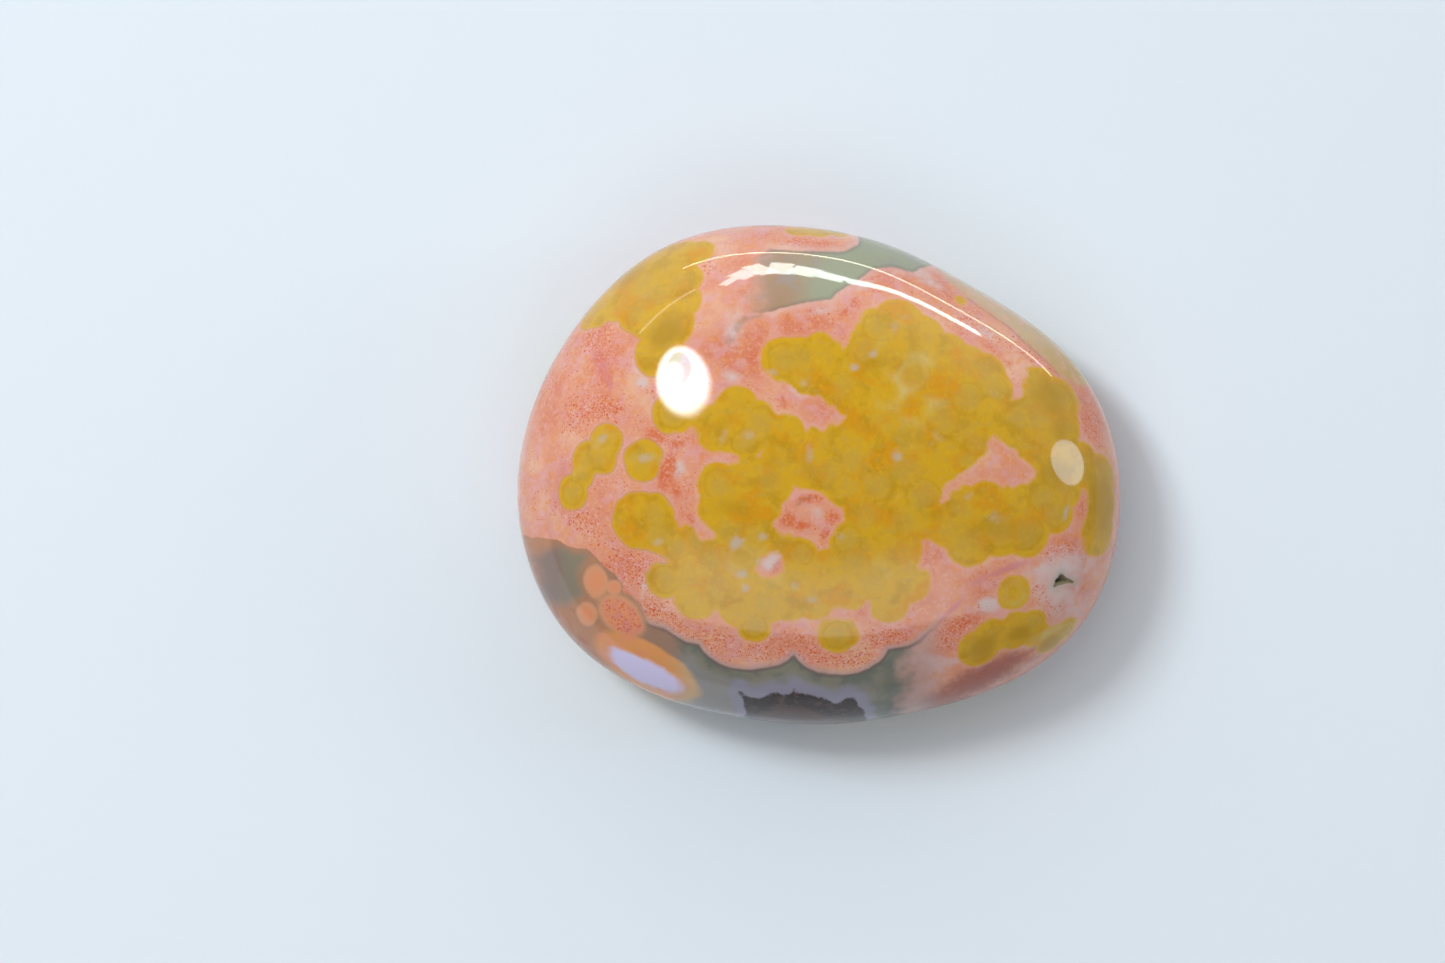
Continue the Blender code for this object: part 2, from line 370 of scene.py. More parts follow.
wander = np.stack([waves(points, GROWTH_WAVE, seed) for seed in (21, 22, 23)], axis=1)
wandered = points + GROWTH_WANDER * wander
wandered_places = places + GROWTH_WANDER * wander[:, :2]
front_orbs = np.array(
    ORBS_UPPER_LEFT + ORBS_LEFT + ORBS_TOP + ORBS_MIDDLE_LEFT + ORBS_BOTTOM + ORBS_MIDDLE_RIGHT
    + ORBS_RIGHT + ORBS_LOWER_RIGHT
)
hidden_centres, hidden_radii = hidden_orbs(points, latitudes)
orb_centres = np.concatenate([on_dome(front_orbs[:, 0], front_orbs[:, 1]), hidden_centres])
orb_radii = np.concatenate([front_orbs[:, 2], hidden_radii])
gold_skin, gold_share, owner = nearest_ball(wandered, orb_centres, orb_radii)
# Each orb has a number from 0 to 1 of its own, for how grey its heart is.
gold_heart = np.random.default_rng(HEART_SEED).uniform(0, 1, len(orb_radii))[owner]
gap_wander = GAP_WANDER * np.stack([waves(points, GAP_WAVE, seed) for seed in (24, 25)], axis=1)
gap = np.max([-fence_distance(wandered_places + gap_wander, corners) for corners in GAPS], axis=0)

# The bottom's agate: bands of grey and lavender chalcedony that filled a hollow against lobes of the pink,
# with dark quartz in its heart. SHORE runs along the lobes' edge, and closes through the pink.
SHORE = [
    (-20.0, -3.0), (-16.5, -3.35), (-15.4, -3.5), (-14.7, -3.6), (-14.0, -3.95), (-13.0, -4.1),
    (-12.5, -4.6), (-12.0, -5.1), (-11.4, -5.5), (-11.25, -5.75), (-11.2, -6.5), (-10.5, -6.85),
    (-10.05, -7.5), (-9.84, -8.09), (-9.3, -8.35), (-8.6, -8.6), (-8.0, -9.05), (-7.4, -9.36),
    (-6.7, -9.49), (-6.5, -9.85), (-6.1, -10.25), (-5.6, -10.6), (-4.96, -10.8), (-4.3, -10.88),
    (-3.73, -10.9), (-2.83, -10.81), (-2.17, -10.62), (-1.67, -10.32), (-1.42, -10.08), (-1.1, -10.4),
    (-0.6, -10.8), (0.0, -11.06), (0.63, -11.19), (1.45, -11.2), (2.2, -11.08), (2.85, -10.86),
    (3.35, -10.52), (3.68, -10.1), (3.92, -9.75), (4.5, -9.7), (5.07, -9.58), (5.57, -9.3),
    (6.06, -8.92), (6.56, -8.43), (6.89, -8.18), (7.6, -7.7), (8.5, -7.4), (60.0, -7.4), (60.0, 60.0),
    (-60.0, 60.0), (-60.0, -3.0),
]
QUARTZ = [
    (-4.5, -12.1), (-4.1, -12.36), (-3.3, -12.42), (-2.5, -12.21), (-1.43, -12.13), (-1.35, -11.92),
    (-1.15, -12.2), (-0.36, -12.3), (0.3, -12.54), (0.96, -12.7), (1.6, -12.5), (2.1, -12.6), (2.6, -13.4),
    (3.0, -15.0), (1.0, -17.0), (-3.0, -17.2), (-4.4, -15.5), (-4.1, -13.2),
]
GREY_PATCH = [
    (-15.4, -4.05), (-14.66, -3.65), (-13.6, -4.1), (-12.95, -4.15), (-12.75, -4.5), (-13.2, -5.3),
    (-13.2, -5.95), (-12.9, -6.7), (-13.4, -7.1), (-14.1, -7.5), (-15.2, -7.3), (-17.0, -6.5), (-17.5, -4.6),
]
QUARTZ_WANDER = 0.1  # how much more the quartz's edge wanders than the other growths'


def lens_share(places, middle, long, wide, turn):
    """How far each place lies out from a lens's middle, as a share of its half-size on the way there.

    The lens is `long` along its own way, which is turned from +X by `turn` degrees, and `wide` across it.
    """
    offset = places - middle
    way = math.radians(turn)
    along = offset[:, 0] * math.cos(way) + offset[:, 1] * math.sin(way)
    across = offset[:, 1] * math.cos(way) - offset[:, 0] * math.sin(way)
    return np.hypot(along / long, across / wide)


agate_depth = fence_distance(wandered_places, SHORE)
quartz_edge = fence_distance(wandered_places + QUARTZ_WANDER * wander[:, 1:], QUARTZ)
patch_edge = fence_distance(wandered_places, GREY_PATCH)

# The top's chalcedony: a grey-green window with a straight dark lower edge, which runs on over the rim.
WINDOW = [
    (-4.4, 9.0), (-3.4, 9.14), (-2.46, 9.24), (-1.44, 9.55), (-0.88, 9.7), (-0.14, 9.79), (0.7, 9.8),
    (1.0, 10.2), (1.73, 10.72), (2.19, 10.95), (2.65, 11.28), (3.12, 11.56), (3.9, 11.68), (5.2, 11.4),
    (6.6, 11.9), (5.5, 14.5), (3.4, 16.0), (2.5, 15.0), (2.2, 13.0), (1.25, 12.6), (-0.6, 12.65),
    (-2.65, 12.7), (-3.6, 12.3), (-4.4, 11.0),
]
window_edge = fence_distance(wandered_places, WINDOW)

# Small things that grew beside the agate: peach-coloured orbs, the largest one speckled, and a long eye of
# lavender chalcedony in a tan ring. Each is a lens, with a place, half-sizes along and across, and a turn.
PEACH_ORBS = [
    (-12.47, -5.93, 0.68, 0.95, 8), (-11.45, -6.25, 0.42, 0.42, 0), (-12.98, -7.73, 0.57, 0.68, 10),
    (-11.06, -7.85, 1.5, 1.0, -42),
]
SPECKLED_ORB = (-11.0, -7.9, 1.15, 0.7, -42)
EYE = (-9.72, -10.95, 2.3, 0.64, -28)
EYE_RING = (-9.62, -10.72, 3.35, 1.3, -30)

peach_share = np.min([lens_share(wandered_places, row[:2], *row[2:]) for row in PEACH_ORBS], axis=0)
speckled_share = lens_share(wandered_places, SPECKLED_ORB[:2], *SPECKLED_ORB[2:])
eye_share = lens_share(wandered_places, EYE[:2], *EYE[2:])
ring_share = lens_share(wandered_places, EYE_RING[:2], *EYE_RING[2:])

# Veins of brown silica, each with its half-width and the line that it follows.
VEINS = [
    (0.30, [(-3.3, 9.14), (-3.8, 8.95), (-4.13, 8.77), (-4.45, 8.5), (-4.75, 8.0), (-5.0, 7.56)]),
    (0.07, [(11.5, -7.95), (11.9, -7.72), (12.4, -7.75)]),
    (0.16, [(-1.15, -1.6), (-0.8, -1.3), (-0.35, -1.28)]),
    (0.09, [(8.3, 9.9), (9.4, 9.25), (10.9, 8.05), (12.3, 6.85), (13.7, 5.5), (15.0, 4.0)]),
]


def line_distance(places, corners):
    """How far each place lies from a line through the corners."""
    nearest = np.full(len(places), np.inf)
    for a, b in zip(np.array(corners), np.array(corners[1:])):
        along = ((places - a) @ (b - a) / ((b - a) @ (b - a))).clip(0, 1)
        nearest = np.minimum(nearest, np.linalg.norm(places - a - along[:, None] * (b - a), axis=1))
    return nearest


from_vein = np.min([line_distance(wandered_places, line) / width for width, line in VEINS], axis=0)

# The upper right rim carries a painted reflection of pale surroundings: a pale yellowish strip outside this
# line, running down over the side.
REFLECTION_STRIP = [
    (6.2, 11.9), (7.4, 10.7), (8.3, 9.9), (9.4, 9.25), (10.9, 8.05), (12.3, 6.85), (13.7, 5.5), (14.6, 4.9),
    (16.5, 5.6), (21.0, 7.0), (20.0, 11.0), (14.0, 16.0), (8.0, 18.0), (6.5, 14.0),
]
reflection_strip_edge = fence_distance(wandered_places, REFLECTION_STRIP)

# Touches of colour in the silica: each has a place, half-sizes along and across, a turn and a strength. On
# the sides and back, the same touches come in clouds where slow waves run high.
RUST = [
    (-9.2, 2.2, 1.0, 0.5, 20, 1.5), (-8.5, 0.3, 1.3, 0.5, 80, 1.5), (-7.9, 1.8, 0.7, 0.4, 0, 1.0),
    (-8.0, -0.7, 0.7, 0.4, 100, 1.0), (-7.2, -2.4, 0.8, 0.4, -40, 0.9), (-1.7, 8.75, 0.8, 0.35, 70, 0.7),
    (-3.0, 7.9, 0.9, 0.5, 40, 0.6), (-3.8, 6.7, 0.9, 0.6, 60, 0.6), (-2.0, 4.2, 0.9, 0.4, -35, 0.8),
    (0.3, 3.4, 0.7, 0.3, -30, 0.6), (2.1, 9.7, 0.5, 0.35, 30, 1.0), (1.5, 9.2, 0.6, 0.4, 40, 0.9),
    (1.26, 8.1, 0.5, 0.3, 90, 0.7), (-0.2, 13.0, 2.2, 0.35, -4, 0.9), (8.0, 7.9, 1.0, 0.3, -28, 0.7),
    (9.8, 7.1, 1.2, 0.3, -40, 0.8), (10.6, 6.3, 0.8, 0.3, -55, 0.8), (8.1, -8.3, 1.3, 0.45, 28, 1.2),
    (8.6, -5.7, 1.2, 0.35, 20, 0.7), (-1.7, -2.5, 0.65, 0.5, -20, 1.4), (-0.9, -2.75, 0.5, 0.35, 0, 1.3),
    (0.4, -3.3, 0.4, 0.3, 60, 1.3), (0.8, -2.3, 0.5, 0.4, -50, 1.2), (-0.5, -1.3, 0.9, 0.3, 10, 1.4),
    (1.2, -9.9, 0.9, 0.35, 0, 0.9), (-0.6, -9.3, 1.4, 0.4, -30, 0.5), (-2.4, -5.2, 0.8, 0.3, 60, 0.9),
    (-11.0, -4.6, 1.3, 0.5, -30, 0.6), (-12.3, 5.0, 0.8, 0.6, 0, 0.35), (-4.6, 1.0, 0.5, 0.3, 0, 1.0),
    (11.4, -10.2, 1.5, 0.4, 30, 0.7), (15.2, 2.8, 0.9, 0.5, -60, 0.8), (-13.0, 3.6, 1.6, 0.5, 20, 0.6),
    (-12.2, 5.9, 2.4, 1.4, 60, 0.72),
]
PALE = [
    (-4.9, 5.6, 0.8, 0.5, -30, 0.9), (-1.3, 4.75, 0.9, 0.25, -35, 0.8), (-4.4, 10.2, 1.0, 0.8, 60, 0.5),
    (0.3, 9.25, 1.2, 0.3, 5, 0.8), (2.6, 10.7, 1.1, 0.3, 25, 0.8), (6.0, 11.1, 1.4, 0.4, -35, 0.9),
    (9.4, 8.0, 1.3, 0.5, -35, 0.7), (9.5, -7.3, 0.8, 0.6, 10, 1.2), (13.6, -5.2, 2.3, 1.2, 10, 1.1),
    (6.4, -10.5, 1.0, 0.8, 0, 0.7), (-7.9, 0.4, 0.6, 0.45, 90, 1.0), (-7.6, -1.4, 0.5, 0.35, 90, 0.5),
    (-0.1, -2.2, 0.7, 0.5, -30, 0.7), (-2.6, -4.8, 0.9, 0.6, 40, 1.1), (-4.8, 8.3, 1.6, 0.8, 70, 0.8),
    (-15.2, -0.8, 2.4, 0.5, 88, 0.5), (-10.2, 5.9, 0.8, 0.4, -60, 0.7), (-11.7, -3.9, 1.6, 0.35, -50, 0.5),
    (-9.9, -6.2, 0.9, 0.35, 100, 0.8), (13.4, -6.8, 2.4, 1.6, -40, 0.9), (-6.8, 11.3, 0.6, 0.4, 60, 0.6),
    (-9.9, 5.3, 0.5, 0.4, 0, 1.1), (6.9, -10.6, 1.2, 0.6, 10, 0.8),
]
MAUVE = [
    (-12.2, 6.3, 1.5, 0.5, 105, 1.0), (-11.8, 5.4, 0.6, 0.3, 110, 1.3), (-14.6, -0.5, 2.2, 0.4, 80, 0.7),
    (10.6, -5.2, 1.7, 0.22, 18, 1.3), (9.0, -5.9, 0.8, 0.3, 30, 0.9), (7.4, -7.6, 1.3, 0.2, 46, 1.1),
    (-5.0, 4.9, 0.8, 0.3, -30, 0.7),
    (-10.9, -7.9, 0.9, 0.4, -45, 1.0), (-10.2, -4.9, 0.9, 0.3, -40, 0.7), (14.0, -7.0, 1.0, 0.5, -60, 0.4),
]
# The lower right rim's dark brown-red: partly the stone's own colour and partly painted shade of the lower
# rim.
UMBER_AND_SHADE = [
    (9.2, -11.3, 3.8, 0.85, 26, 1.3), (7.0, -12.6, 2.0, 0.8, 12, 1.3), (11.8, -9.9, 1.4, 0.4, 33, 0.8),
]
CLOUDS = [
    (-12.1, 2.1, 0.4, 0.25, 20, 1.0), (-9.75, 1.0, 0.5, 0.3, 10, 1.0), (2.0, 6.1, 0.3, 0.25, 0, 1.3),
    (3.1, 6.8, 0.3, 0.25, 40, 1.0), (4.3, 8.4, 0.5, 0.35, 70, 0.7), (4.9, 8.9, 0.3, 0.25, 0, 0.5),
    (4.4, 1.1, 0.35, 0.45, 0, 1.1), (-2.5, 5.75, 0.35, 0.25, 0, 0.8), (-0.8, 5.2, 0.35, 0.25, 0, 0.7),
    (6.6, 2.1, 0.5, 0.4, 0, 0.5), (-4.6, -3.75, 0.45, 0.35, 40, 1.6), (-4.3, -5.5, 0.3, 0.4, 90, 1.3),
    (-4.1, -6.3, 0.25, 0.25, 0, 1.5), (-3.1, -3.4, 0.35, 0.3, 0, 0.9), (-1.3, -6.1, 0.3, 0.25, 0, 0.9),
    (-0.4, -7.0, 0.45, 0.25, 0, 0.9), (-9.0, -3.7, 0.5, 0.25, 10, 0.7), (8.4, -1.1, 0.35, 0.25, 30, 0.8),
    (9.9, -2.3, 0.6, 0.4, -30, 0.6), (13.9, -2.0, 0.5, 0.15, 75, 1.2), (1.2, -3.4, 0.4, 0.3, 0, 0.5),
    (-3.9, 2.3, 0.5, 0.3, 0, 0.8), (9.8, 4.6, 0.3, 0.25, 0, 0.5), (-5.4, 2.1, 0.7, 0.3, 60, 0.6),
    (-3.3, -4.9, 0.3, 0.3, 0, 1.0), (-0.5, 1.2, 0.3, 0.6, 0, 0.8),
]
HAZE = [
    (4.9, 5.4, 2.3, 1.1, 50, 1.3), (6.3, 3.9, 1.2, 1.0, 0, 0.9), (5.2, 2.6, 1.5, 0.8, 80, 0.9),
    (3.4, 7.4, 1.2, 0.6, 40, 0.6), (-12.1, 1.9, 0.9, 0.6, 20, 0.8), (-9.75, 1.0, 0.9, 0.5, 10, 0.9),
    (-4.4, -4.6, 1.8, 0.9, 20, 0.8), (-2.2, -5.9, 1.6, 0.8, 0, 0.6), (3.6, -5.2, 2.2, 1.0, 10, 0.5),
    (-9.2, -3.2, 1.2, 0.5, 0, 0.6), (-13.4, 0.2, 0.8, 0.6, 60, 0.7), (13.1, -8.8, 0.8, 0.3, 35, 1.0),
    (12.0, -8.1, 0.6, 0.4, 0, 0.8), (11.0, -6.5, 0.9, 0.9, 0, 0.9), (-9.6, 10.0, 1.8, 0.7, 30, 0.6),
]
DEEP = [
    (-8.6, 8.1, 1.3, 0.9, 60, 1.2), (-10.6, 11.2, 1.6, 0.5, 35, 0.9), (12.9, 4.4, 1.7, 1.2, -50, 1.0),
    (13.6, 2.7, 1.4, 0.9, 90, 0.8), (15.9, -1.5, 2.4, 0.9, 95, 1.2), (13.1, 0.0, 1.3, 1.0, 40, 0.9),
    (9.25, -9.6, 0.9, 0.6, 40, 1.3), (11.3, -8.85, 0.8, 0.5, 20, 1.2), (13.0, -9.5, 0.9, 0.4, 35, 1.3),
    (10.2, -2.9, 2.2, 0.8, 0, 0.7), (-5.0, -1.7, 1.6, 0.8, 0, 0.7), (3.0, 6.3, 1.5, 0.7, 30, 0.6),
    (-2.6, 1.1, 0.8, 1.0, 0, 0.5), (0.3, 0.4, 0.9, 0.6, 60, 0.5), (6.4, -2.2, 0.9, 0.6, 0, 0.7),
    (-5.6, 2.7, 0.9, 0.6, 0, 0.6), (1.0, -9.4, 0.9, 0.5, 0, 0.7), (-7.1, -5.0, 0.9, 0.6, 0, 0.4),
]
SPECKLES = [
    (-12.2, 8.0, 1.2, 0.8, 60, 1.3), (-12.3, 3.9, 1.5, 0.8, 0, 1.1), (-13.7, 2.8, 0.9, 0.5, 40, 1.1),
    (-13.3, -2.6, 1.8, 0.7, -40, 1.0), (-10.6, -5.2, 1.8, 0.8, -50, 1.1), (-8.7, -7.9, 1.8, 0.7, -40, 1.2),
    (-6.0, -9.2, 1.6, 0.6, -15, 1.2), (-3.4, -9.9, 1.6, 0.5, 0, 1.2), (-1.0, -9.2, 1.0, 0.5, 0, 1.0),
    (1.2, -10.2, 2.2, 0.5, 0, 1.4), (4.0, -9.1, 1.6, 0.5, 20, 1.1), (7.8, -8.4, 1.2, 0.5, 20, 1.4),
    (6.6, -9.6, 1.5, 0.6, 10, 0.6), (12.9, -4.4, 1.4, 0.4, 20, 0.6), (14.8, -4.6, 0.8, 0.3, 30, 0.4),
    (12.7, -7.2, 0.7, 0.5, -60, 0.6), (15.2, 2.8, 1.0, 0.5, -60, 1.2), (9.2, 8.2, 2.0, 0.4, -32, 0.8),
    (12.2, 6.8, 2.0, 0.35, -42, 1.0), (-6.4, 12.0, 0.5, 0.4, 0, 1.2), (-0.8, 13.1, 1.6, 0.3, 0, 0.9),
    (-14.6, 5.6, 1.0, 0.5, 60, 0.4), (-8.6, 1.6, 1.0, 0.5, 60, 0.8), (-12.7, -0.6, 0.8, 0.4, 0, 0.9),
]
CALM = [
    (-4.8, 8.3, 2.8, 1.4, 70, 1.0), (7.4, -6.0, 1.8, 1.2, -60, 0.8), (10.6, 1.2, 1.8, 0.8, 30, 1.3),
    (-1.3, 4.0, 2.5, 0.5, -35, 0.8), (6.3, -10.4, 1.2, 1.0, 0, 0.8), (9.0, -11.5, 3.0, 0.8, 25, 0.8),
    (13.8, -5.6, 2.2, 1.6, 0, 0.45),
]
BELOW_FADE = 3.0  # how far below the girdle the hidden side's touches have come in fully


def touches(places, rows):
    """The strongest of soft touches, each a bell round its place: its strength times exp(-share squared)."""
    bells = [row[5] * np.exp(-lens_share(places, row[:2], *row[2:5]) ** 2) for row in rows]
    return np.max(bells, axis=0)


below_girdle = ((GIRDLE_HEIGHT - points[:, 2]) / BELOW_FADE).clip(0, 1)


def with_hidden(rows, length, seed, strength=1.0, lift=0.0):
    """The touches of these rows, or where it is more, the hidden side's clouds: slow waves of this length,
    times the strength, and raised by the lift."""
    hidden_clouds = below_girdle * (strength * waves(points, length, seed) + lift)
    return np.maximum(touches(wandered_places, rows), hidden_clouds)


rust = with_hidden(RUST, 5.0, 41, strength=1.3, lift=-0.1)
pale = with_hidden(PALE, 6.0, 42, strength=1.3, lift=-0.2)
speckles = with_hidden(SPECKLES, 7.0, 43, strength=1.5, lift=0.2) - touches(wandered_places, CALM)
mauve = touches(wandered_places, MAUVE)
umber_and_shade = with_hidden(UMBER_AND_SHADE, 7.0, 44, lift=-0.3)
clouds = touches(wandered_places, CLOUDS)
haze = with_hidden(HAZE, 4.0, 45)
deep = with_hidden(DEEP, 4.0, 46)

# The stone's mesh carries how far each point lies in each growth, and its material draws the edges and bands
# from that, sharper than the mesh is.
MM = 0.001
FURTHEST = 50.0  # that an edge is told of

mesh = bpy.data.meshes.new("polished_jasper_stone")
mesh.from_pydata(points * MM, [], quads)
mesh.shade_smooth()
layers = {
    "gold_skin": gold_skin, "gold_share": gold_share, "gold_heart": gold_heart, "gap": gap,
    "agate_depth": agate_depth, "quartz": quartz_edge, "patch": patch_edge, "window": window_edge,
    "peach": peach_share, "speckled": speckled_share, "eye": eye_share, "eye_ring": ring_share,
    "vein": from_vein, "painted_reflection": reflection_strip_edge, "pit_edge": pit_edge, "rust": rust, "pale": pale, "mauve": mauve,
    "umber_and_shade": umber_and_shade, "clouds": clouds, "haze": haze, "deep": deep, "speckles": speckles,
}
for name, values in layers.items():
    layer = mesh.attributes.new(name, "FLOAT", "POINT")
    layer.data.foreach_set("value", values.clip(-FURTHEST, FURTHEST).astype(np.float32))
stone = bpy.data.objects.new("polished_jasper_stone", mesh)
bpy.context.scene.collection.objects.link(stone)

# The polished jasper: pink silica full of rust-red specks, gold orbs with greyer hearts, grey and lavender
# chalcedony. The colours are linear, the polish is the same all over, and a little light enters its skin.
PINK_DEEP = (0.62, 0.20, 0.11)
PINK = (0.665, 0.27, 0.165)
PINK_PALE = (0.71, 0.395, 0.25)
PINK_LAVENDER = (0.65, 0.31, 0.31)
PINK_MAUVE = (0.58, 0.20, 0.20)
ORANGE = (0.70, 0.25, 0.06)
YELLOW_GRAIN = (0.70, 0.40, 0.19)
RUST_RED = (0.61, 0.135, 0.045)
SPECK_RED = (0.56, 0.075, 0.02)
# Dark brown: laid as painted shade on the lower right rim, and as the agate's own brown.
UMBER_BROWN_AND_SHADE = (0.30, 0.045, 0.018)
LAVENDER_WHITE = (0.61, 0.46, 0.43)
LILAC_FLECK = (0.72, 0.42, 0.41)
GOLD = (0.595, 0.33, 0.012)
GOLD_DEEP = (0.42, 0.225, 0.006)
GOLD_HEART = (0.49, 0.30, 0.045)
GOLD_ORANGE = (0.60, 0.25, 0.004)
GOLD_BRIGHT = (0.63, 0.38, 0.02)
GOLD_HAZE = (0.57, 0.43, 0.15)
GOLD_LINE = (0.40, 0.22, 0.10)
CLOUD_GREY = (0.48, 0.38, 0.32)
# Colours of the painted reflection on the upper right rim.
REFLECTION_PALE = (0.51, 0.39, 0.22)
REFLECTION_GOLD = (0.46, 0.31, 0.06)
VEIN_BROWN = (0.33, 0.19, 0.12)
AGATE_HALO = (0.42, 0.31, 0.29)
AGATE_LINE = (0.155, 0.105, 0.095)
AGATE_GREEN = (0.215, 0.195, 0.145)
AGATE_TEAL = (0.145, 0.155, 0.12)
AGATE_MAUVE = (0.31, 0.18, 0.12)
AGATE_PALE = (0.28, 0.26, 0.25)
AGATE_LAVENDER = (0.265, 0.245, 0.305)
QUARTZ_DARK = (0.028, 0.014, 0.013)
QUARTZ_MAUVE = (0.10, 0.055, 0.045)
SHORE_BROWN = (0.44, 0.20, 0.105)
PATCH_LAVENDER = (0.235, 0.16, 0.13)
PATCH_GREEN = (0.24, 0.20, 0.14)
WINDOW_MAUVE = (0.36, 0.22, 0.125)
WINDOW_GREEN = (0.30, 0.31, 0.20)
PEACH = (0.68, 0.26, 0.125)
PEACH_RIM = (0.62, 0.29, 0.15)
EYE_WHITE = (0.60, 0.53, 0.74)
EYE_TAN = (0.68, 0.29, 0.095)
EYE_CREAM = (0.56, 0.36, 0.19)
PIT_SHADE = (0.045, 0.035, 0.03)
PIT_OLIVE = (0.17, 0.13, 0.055)
PIT_HALO = (0.47, 0.38, 0.33)
POLISH_ROUGHNESS = 0.045
JASPER_IOR = 1.54
LIGHT_WITHIN = 0.12  # the share of the light that comes back from within
LIGHT_DEPTH = 0.35
LIGHT_REACH = (1.0, 0.6, 0.4)  # of red, green and blue, in LIGHT_DEPTHs
SPECK_FADE = 0.12  # how gradually the specks come in with the density
SPECK_CORE = 0.45  # the full part of a speck, as a share of its size

jasper = bpy.data.materials.new("polished_ocean_jasper")
jasper.use_nodes = True
tree = jasper.node_tree


def node(kind, inputs=(), **settings):
    """A node in the present tree. Each input is a plain value, or the socket that feeds it."""
    made = tree.nodes.new(kind)
    for name, value in settings.items():
        setattr(made, name, value)
    for name, value in dict(inputs).items():
        if isinstance(value, bpy.types.NodeSocket):
            tree.links.new(value, made.inputs[name])
        else:
            made.inputs[name].default_value = value
    return made


def calc(operation, first, second=0.0):
    """first and second, added, multiplied and so on."""
    return node("ShaderNodeMath", {0: first, 1: second}, operation=operation).outputs[0]


def ease(value, low, high):
    """0 up to low, 1 from high on, and a smooth step between. low may be the greater."""
    settings = {"Value": value, "From Min": low, "From Max": high}
    return node("ShaderNodeMapRange", settings, interpolation_type="SMOOTHSTEP").outputs[0]


def both(*shares):
    """The product of several shares."""
    product = shares[0]
    for share in shares[1:]:
        product = calc("MULTIPLY", product, share)
    return product


def layer_of(name):
    """What the mesh says of each point under this name."""
    return node("ShaderNodeAttribute", attribute_name=name).outputs["Fac"]


def mottle(scale, detail=3.0, roughness=0.55, shift=0.0):
    """Cloudy noise about 0.5, with `scale` clouds to the millimetre."""
    moved = node("ShaderNodeVectorMath", {0: in_mm, 1: (shift, shift, shift)}, operation="ADD").outputs[0]
    settings = {"Vector": moved, "Scale": scale, "Detail": detail, "Roughness": roughness}
    return node("ShaderNodeTexNoise", settings).outputs["Fac"]


def jitter(value, scale, size, shift=0.0):
    """The value, moved up and down by noise of this size."""
    return calc("ADD", value, calc("MULTIPLY", calc("SUBTRACT", mottle(scale, shift=shift), 0.5), size))


def roughened(name, *jitters):
    """What the mesh says under this name, moved by each jitter in turn: its scale, size and shift."""
    value = layer_of(name)
    for scale, size, *shift in jitters:
        value = jitter(value, scale, size, *shift)
    return value


def paint(under, over, share):
    """The colour `over` laid on the colour `under`, by this share."""
    over = over if isinstance(over, bpy.types.NodeSocket) else (*over, 1.0)
    under = under if isinstance(under, bpy.types.NodeSocket) else (*under, 1.0)
    return node("ShaderNodeMix", {0: share, 6: under, 7: over}, data_type="RGBA").outputs[2]


def cloud(under, over, scale, shift, span, share=1.0, detail=4.0):
    """The colour `over` laid on `under` in clouds: by the share, where this noise eases over its span."""
    return paint(under, over, both(ease(mottle(scale, detail, shift=shift), *span), share))


def bands(value, stops):
    """Colours that follow one another along the value, smoothly, from a list of value and colour."""
    colour = stops[0][1]
    for (low, _), (high, then) in zip(stops, stops[1:]):
        colour = paint(colour, then, ease(value, low, high))
    return colour


where = node("ShaderNodeTexCoord").outputs["Object"]
in_mm = node("ShaderNodeVectorMath", {0: where, 1: (1 / MM,) * 3}, operation="MULTIPLY").outputs[0]

# Each line below lays one colour on what is there. What ease() is given is in millimetres from an edge or
# along X, in shares of a radius, or in the noise's own 0 to 1, and the last number is how much the colour
# covers.
ground = bands(mottle(0.32, 4.0), [(0.36, PINK_DEEP), (0.5, PINK), (0.70, PINK_PALE)])
ground = cloud(ground, PINK_LAVENDER, 1.1, 7, (0.48, 0.64), 0.55)
ground = cloud(ground, ORANGE, 1.9, 13, (0.52, 0.70), 0.6)
ground = cloud(ground, PINK_PALE, 5.0, 3, (0.50, 0.68), 0.42, detail=3.0)
ground = paint(ground, PINK_MAUVE, both(ease(roughened("mauve", (1.6, 0.8, 3)), 0.25, 1.1), 0.8))
ground = paint(ground, LAVENDER_WHITE, ease(roughened("pale", (1.6, 0.9)), 0.25, 1.15))
rusty = both(ease(roughened("rust", (1.8, 1.1, 5), (5.0, 0.7)), 0.25, 1.15), 0.95)
ground = cloud(ground, RUST_RED, 5.5, 97, (0.24, 0.60), rusty, detail=3.0)
# Painted shade mixed with the stone's dark brown on the lower right rim, and dark brown clouds on the sides
# and back.
umber_and_shade_cover = both(ease(roughened("umber_and_shade", (0.9, 0.8), (3.0, 0.6)), 0.2, 1.2), 0.85)
ground = paint(ground, UMBER_BROWN_AND_SHADE, umber_and_shade_cover)


def specks(under, spacing, size, density, share):
    """Rust-red specks on the colour: `spacing` to the millimetre, each a dot of this size in its cell, where
    the cell's own random number is below the density."""
    cell = node("ShaderNodeTexVoronoi", {"Vector": in_mm, "Scale": spacing})
    number = node("ShaderNodeSeparateColor", {0: cell.outputs["Color"]}).outputs["Red"]
    there = ease(calc("SUBTRACT", density, number), 0.0, SPECK_FADE)
    dot = ease(cell.outputs["Distance"], size, size * SPECK_CORE)
    return paint(under, SPECK_RED, both(there, dot, share))


